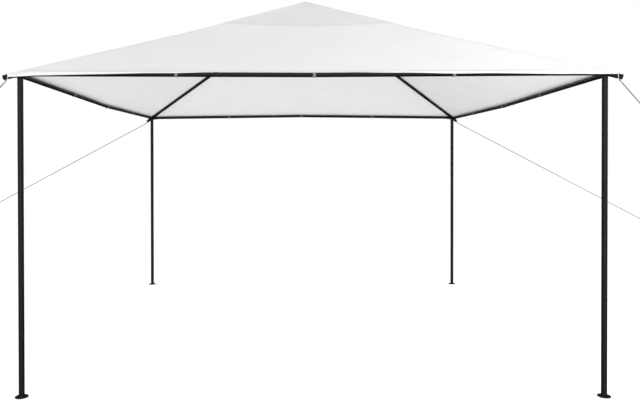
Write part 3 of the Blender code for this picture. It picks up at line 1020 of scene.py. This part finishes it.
def lay_tape(name, sheets, side, rows):
    """A tape over the hip at a side's right end, along these rows of the two sheets that meet there."""
    beside = SIDES[(SIDES.index(side) + 1) % len(SIDES)]
    reach = SEAM_HALF * math.sqrt(2.0)
    lines = []
    for row in rows:
        left = [column[row] for column in reversed(sheets[side])]
        right = [column[row] for column in sheets[beside]]
        lines.append([walk(left, reach * share) for share in SEAM_STEPS])
        lines[-1] += [left[0], *[walk(right, reach * share) for share in reversed(SEAM_STEPS)]]
    marks = marks_along([line[len(SEAM_STEPS)] for line in lines])
    offsets = [-SEAM_HALF * share for share in SEAM_STEPS]
    offsets += [0.0, *[-offset for offset in reversed(offsets)]]
    uvs = [[(mark, offset) for offset in offsets] for mark in marks]
    sew_sheet(name, [lines], [uvs], hem_cloth, TAPE_THICKNESS, TAPE_LIFT)
    return marks[-1]


for side, corner in RIGHT_CORNERS.items():
    length = lay_tape(f"hip_seam_{corner}", panels, side, HIP_SEAM_ROWS)
    lay_tape(f"patch_seam_{corner}", patch_sheets, side, PATCH_SEAM_ROWS)
print("length of a hip seam:", round(length, 2))

# %% [markdown]
# ## The ties
# Three short straps on each side hold the hem down. Each is sewn inside the hem, goes once round the rail
# and closes on itself with a hook and loop tab. A plain ring would do from afar, but a strap that winds
# outward as it overlaps, with its tab standing off a little, is what the eye expects close by.

# %% Wind the ties round the rails
TIE_WIDTH = 0.020
TIE_TURNS = (20.0, 455.0)  # degrees from the top, where a tie starts and ends
TIE_STEPS = 72
TIE_SLACK = 0.0020
TAB_LIFT = 0.0013          # where the strap lies over its own start
TAB_CURL = 0.0016          # at the tab's end
WEBBING_THICKNESS = 0.0011
WEBBING_EDGE = 0.0004      # how far its edges are rounded
WEBBING_GAP = 0.0007       # from a tube to the middle of the webbing


def strap_section(width):
    """A flat strap's section with rounded edges, as (across, out) points."""
    half, thick = width / 2, WEBBING_THICKNESS / 2
    flat = half - WEBBING_EDGE
    return (
        (-half, thick * 0.5), (-flat, thick), (0.0, thick * 1.15), (flat, thick), (half, thick * 0.5),
        (half, -thick * 0.5), (flat, -thick), (-flat, -thick), (-half, -thick * 0.5),
    )


def wound_strap(centre, axis, up, width, radius_of, turns, steps):
    """A flat strap wound round an axis from one angle to another. Angles run from up, in degrees."""
    start, stop = turns
    sideways = axis.cross(up).normalized()
    up = sideways.cross(axis).normalized()
    section = strap_section(width)
    rings = []
    spine = []
    for step in range(steps + 1):
        share = step / steps
        turn = math.radians(start + (stop - start) * share)
        out = up * math.cos(turn) + sideways * math.sin(turn)
        radius = radius_of(share)
        spine.append(centre + out * radius)
        rings.append([centre + axis * across + out * (radius + lift) for across, lift in section])
    return run_mesh([rings], marks_along(spine), across=[across for across, _ in section])


def tie_radius(share):
    """Close to the rail at first, then over its own start, with the tab's end lifting."""
    lift = WEBBING_GAP + TAB_LIFT * min(max((share - 0.78) / 0.08, 0.0), 1.0)
    slack = TIE_SLACK * math.sin(math.pi * min(share / 0.8, 1.0)) ** 2
    return TUBE_RADIUS + lift + slack + TAB_CURL * max((share - 0.93) / 0.07, 0.0) ** 2


for side in SIDES:
    for name, place in zip(("left", "middle", "right"), TIE_PLACES):
        spot = rail_point(side, place)
        tie_axis = (rail_point(side, place + 0.01) - spot).normalized()
        tie = wound_strap(spot, tie_axis, UP, TIE_WIDTH, tie_radius, TIE_TURNS, TIE_STEPS)
        add_piece(f"tie_{side}_{name}", tie, webbing)
print("ties:", len(SIDES) * len(TIE_PLACES))

# %% [markdown]
# ## Corner loops
# At each corner the roof ends in a short tube of cloth over the outer arm. A loop of dark webbing sewn
# inside it goes round the arm under the cloth and keeps the tip from flapping.

# %% Wind the corner loops round the arms
LOOP_WIDTH = 0.012
LOOP_SET_BACK = 0.034      # of its middle from the arm's end, along the arm
LOOP_TURN = 178.0          # degrees each way from the top
LOOP_STEPS = 48
LOOP_SLACK = 0.0004


def arm_end(corner):
    """End of the outer arm of a corner, the arm's direction outward, and the direction up from it."""
    end = rafter_point(corner, HALF_SPAN + ARM_OVERHANG)
    outward = (end - rafter_point(corner, HALF_SPAN + 0.01)).normalized()
    sideways = outward.cross(UP).normalized()
    return end, outward, sideways.cross(outward).normalized()


def loop_radius(share):
    return ARM_RADIUS + WEBBING_GAP + LOOP_SLACK * math.sin(math.pi * share)


for corner in CORNERS:
    end, outward, up = arm_end(corner)
    centre = end - outward * LOOP_SET_BACK
    loop = wound_strap(centre, outward, up, LOOP_WIDTH, loop_radius, (-LOOP_TURN, LOOP_TURN), LOOP_STEPS)
    add_piece(f"corner_loop_{corner}", loop, loop_webbing)
print("corner loops:", len(CORNERS))

# %% [markdown]
# ## Rope
# The stays are laid rope: three strands twisted together. A smooth tube with a bump would look like wire,
# so the section of the rope is a three-lobed ring that turns as it travels. A rope's path is first cut
# into short even steps, so the lobes come out the same on straights and in knots.

# %% Make rope along any path
ROPE_PITCH = 0.028
ROPE_STEP = 0.0034
ROPE_LOBE = 0.15           # how much of the radius the lobes take
CORD_RADIUS = 0.0027
TWINE_RADIUS = 0.0012


def even_steps(points, step, closed=False):
    """The same path in steps of nearly this length."""
    path = [*points, points[0]] if closed else points
    marks = marks_along(path)
    count = max(int(round(marks[-1] / step)), 2)
    result = []
    place = 0
    for index in range(count if closed else count + 1):
        target = marks[-1] * index / count
        while place + 2 < len(path) and marks[place + 1] < target:
            place += 1
        span = marks[place + 1] - marks[place]
        result.append(path[place].lerp(path[place + 1], (target - marks[place]) / span if span else 0.0))
    return result


def round_run(path, closed, sides, reach_of):
    """A run along a path. reach_of gives how far its skin is from the path at a step and an angle."""
    rings = []
    for step, (point, (across, up)) in enumerate(zip(path, along_path(path, closed))):
        ring = []
        for side in range(sides):
            turn = 2.0 * math.pi * side / sides
            reach = reach_of(step, turn)
            ring.append(point + across * math.cos(turn) * reach + up * math.sin(turn) * reach)
        rings.append(ring)
    return run_mesh([rings], marks_along(path, closed), closed)


def lay_rope(points, radius=ROPE_RADIUS, closed=False, sides=15):
    """Three-strand rope along a path."""
    path = even_steps(points, ROPE_STEP, closed)
    marks = marks_along(path, closed)
    turns = marks[-1] / ROPE_PITCH
    twist = 2.0 * math.pi * (round(turns) if closed else turns) / marks[-1]

    def reach_of(step, turn):
        lobe = abs(math.cos(1.5 * (turn - marks[step] * twist)))
        return radius * (1.0 - ROPE_LOBE + ROPE_LOBE * lobe)

    return round_run(path, closed, sides, reach_of)


print("steps of rope in a metre:", round(1.0 / ROPE_STEP))

# %% [markdown]
# ## The stays
# Each corner is held by one taut stay from the end of its outer arm to a peg beside the tent. A taut rope
# is straight, so the run needs no simulation. It hangs from a loop of thinner white cord round the arm,
# bound on with twine, and at the peg it ends in an eye round the shaft, closed by a few turns of rope.

# %% Tie the stays
EYE_LENGTH = 0.065         # from the peg's axis up the stay
EYE_OVERLAP = 0.012        # that the stay runs on into its eye
KNOT_GAP = 0.0004          # between a rope and what it lies on
CORD_GAP = 0.0003          # between the cord and the arm
COIL_PITCH = 2.05          # from turn to turn, in radii of the rope
COIL_POINTS = 20           # in each turn
WHIPPING_DROP = 0.018      # of the twine's middle from the top of the stay
WHIPPING_TURNS = 7.0
HITCH_SHIFT = 0.004        # of the hitch's middle from the end of the eye
HITCH_TURNS = 4.5
ARM_STRETCH = 1.0 / math.cos(math.atan(outer_slope() / math.sqrt(2.0)))
print("an upright cut through an arm is higher than wide by", round(ARM_STRETCH, 3))


def stay_ends(corner):
    """The middle of the loop on the arm's axis, the stay's top under it, and its foot on the peg's axis."""
    hold = rafter_point(corner, HALF_SPAN + ARM_OVERHANG - STAY_SET_BACK)
    top = hold - UP * (ARM_RADIUS * ARM_STRETCH + ROPE_RADIUS + KNOT_GAP)
    foot = Vector((CORNERS[corner][0] * STAKE_X, 0.0, STAY_FOOT_HEIGHT[corner.split("_")[0]]))
    return hold, top, foot


def ring_points(centre, first, second, count):
    """Points of an ellipse from two half axes."""
    angles = [2.0 * math.pi * index / count for index in range(count)]
    return [centre + first * math.cos(angle) + second * math.sin(angle) for angle in angles]


def hitch_points(centre, axis, radius, pitch, turns):
    """A coil of rope round a straight run."""
    first = axis.orthogonal().normalized()
    second = axis.cross(first)
    count = int(turns * COIL_POINTS)
    points = []
    for index in range(count + 1):
        turn = 2.0 * math.pi * turns * index / count
        along = axis * (pitch * turns * (index / count - 0.5))
        points.append(centre + along + (first * math.cos(turn) + second * math.sin(turn)) * radius)
    return points


def eye_points(foot, axis):
    """A tear-shaped loop from a point up the stay, round the peg and back."""
    along = axis / math.hypot(axis.x, axis.y)
    beside = axis.cross(UP).normalized()
    radius = STAKE_RADIUS + ROPE_RADIUS + KNOT_GAP
    points = []
    for step in range(17):
        turn = math.radians(-100.0 + 200.0 * step / 16)
        points.append(foot + along * math.cos(turn) * radius + beside * math.sin(turn) * radius)
    throat = foot - axis * EYE_LENGTH
    side_gap = beside * ROPE_RADIUS * 0.9
    return [throat - side_gap, *points, throat + side_gap]


for corner in CORNERS:
    hold, top, foot = stay_ends(corner)
    axis = (foot - top).normalized()
    _, outward, up = arm_end(corner)
    run = lay_rope((top, foot - axis * (EYE_LENGTH - EYE_OVERLAP)))
    stay = add_piece(f"stay_rope_{corner}", run, rope)
    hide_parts(f"guy_stay_{corner}")
    girth = ARM_RADIUS + CORD_RADIUS + CORD_GAP
    ring = ring_points(hold, UP * (girth * ARM_STRETCH), outward.cross(up) * girth, 40)
    add_piece(f"stay_loop_{corner}", lay_rope(ring, CORD_RADIUS, True), cord)
    twine_at = top + axis * WHIPPING_DROP
    reach = ROPE_RADIUS + TWINE_RADIUS
    whipping = hitch_points(twine_at, axis, reach, TWINE_RADIUS * COIL_PITCH, WHIPPING_TURNS)
    add_piece(f"stay_whipping_{corner}", lay_rope(whipping, TWINE_RADIUS, sides=9), cord)
    add_piece(f"stay_eye_{corner}", lay_rope(eye_points(foot, axis)), rope)
    hitch_at = foot - axis * (EYE_LENGTH + HITCH_SHIFT)
    coil = hitch_points(hitch_at, axis, ROPE_RADIUS * 2.0, ROPE_RADIUS * COIL_PITCH, HITCH_TURNS)
    add_piece(f"stay_hitch_{corner}", lay_rope(coil), rope)
print("length of a stay:", round((foot - top).length, 2))

# %% [markdown]
# ## Welds
# The foot plates are welded to the posts, and the outer arms to the connectors. A weld bead is a small
# rounded fillet with ripples, where the joint cooled step by step. It follows the line where the two
# shapes meet: a circle at the foot, and a saddle where one tube runs into another.

# %% Run the weld beads
BEAD_STEP = 0.0011
FOOT_BEAD_RADIUS = 0.0017
ARM_BEAD_RADIUS = 0.0015
FOOT_BEAD_OUT = 0.0006     # of the foot bead's middle from the post
FOOT_BEAD_UP = 0.0007      # of it from the plate
SADDLE_START = 100.0       # degrees from the top of the arm
SADDLE_SWEEP = 160.0
SADDLE_STEPS = 24


def weld_bead(points, radius, closed):
    """A rippled bead along a path."""
    def reach_of(step, turn):
        return radius * (1.0 + 0.14 * math.sin(step * 1.9) + 0.05 * math.sin(step * 0.37))

    return round_run(even_steps(points, BEAD_STEP, closed), closed, 10, reach_of)


def saddle_points(corner):
    """Where the lower half of the outer arm meets the upright socket of the connector."""
    outward = at_corner(corner, 1.0, 0.0).normalized()
    beside = Vector((-outward.y, outward.x, 0.0))
    slope = outer_slope() / math.sqrt(2.0)
    axis_point = at_corner(corner, HALF_SPAN, EAVE_HEIGHT)
    points = []
    for step in range(SADDLE_STEPS + 1):
        turn = math.radians(SADDLE_START + SADDLE_SWEEP * step / SADDLE_STEPS)
        side_reach = ARM_RADIUS * math.sin(turn)
        reach = math.sqrt(POST_RADIUS**2 - side_reach**2)
        height = slope * reach + ARM_RADIUS * math.cos(turn) * math.sqrt(1.0 + slope**2)
        points.append(axis_point + outward * reach + beside * side_reach + UP * height)
    return points


for corner in CORNERS:
    base = at_corner(corner, HALF_SPAN, FOOT_THICKNESS + FOOT_BEAD_UP)
    reach = POST_RADIUS + FOOT_BEAD_OUT
    circle = ring_points(base, Vector((reach, 0.0, 0.0)), Vector((0.0, reach, 0.0)), 72)
    add_piece(f"foot_weld_{corner}", weld_bead(circle, FOOT_BEAD_RADIUS, True), steel)
    saddle = weld_bead(saddle_points(corner), ARM_BEAD_RADIUS, False)
    add_piece(f"arm_weld_{corner}", saddle, steel)
print("weld beads:", 2 * len(CORNERS))

# %% [markdown]
# ## Snap buttons
# The tubes lock into the connectors with spring buttons that snap out through a hole in the arm. Each is
# a small bright dome. They sit on the inner side, low down, where a thumb finds them.

# %% Fit the snap buttons
BUTTON_SET_BACK = 0.068    # from the corner, along a rail
HIP_BUTTON_SET_BACK = 0.052
BUTTON_LEAN = 0.5          # how much it points inward, where down counts 1
# A button's profile: (radius, height out of the tube)
BUTTON_PROFILE = ((0.0042, -0.0008), (0.0042, 0.0009), (0.0037, 0.0017), (0.0025, 0.0023), (0.0009, 0.0026))


def button_rings(spot, outward):
    """Rings of a dome that stands out of a surface at this spot."""
    first = outward.orthogonal().normalized()
    second = outward.cross(first)
    return [
        ring_points(spot + outward * lift, first * radius, second * radius, 16) for radius, lift in BUTTON_PROFILE
    ]


def button_places(corner):
    """Places on the arms of a corner: (spot on the tube's skin, direction out of it)."""
    places = []
    for corners, sign in ((LEFT_CORNERS, -1.0), (RIGHT_CORNERS, 1.0)):
        side = next(name for name in SIDES if corners[name] == corner)
        direction = (-UP - side_frame(side)[0] * BUTTON_LEAN).normalized()
        axis_spot = rail_point(side, sign * (HALF_SPAN - BUTTON_SET_BACK))
        places.append((axis_spot + direction * SOCKET_RADIUS, direction))
    hip_spot = rafter_point(corner, HALF_SPAN - HIP_BUTTON_SET_BACK)
    hip_axis = (rafter_point(corner, HALF_SPAN - 0.1) - hip_spot).normalized()
    direction = (hip_axis * UP.dot(hip_axis) - UP).normalized()
    return [*places, (hip_spot + direction * ARM_RADIUS, direction)]


button_marks = [0.001 * index for index in range(len(BUTTON_PROFILE))]
for corner in CORNERS:
    domes = [button_rings(spot, direction) for spot, direction in button_places(corner)]
    add_piece(f"snap_buttons_{corner}", run_mesh(domes, button_marks), zinc)
print("snap buttons:", len(domes) * len(CORNERS))
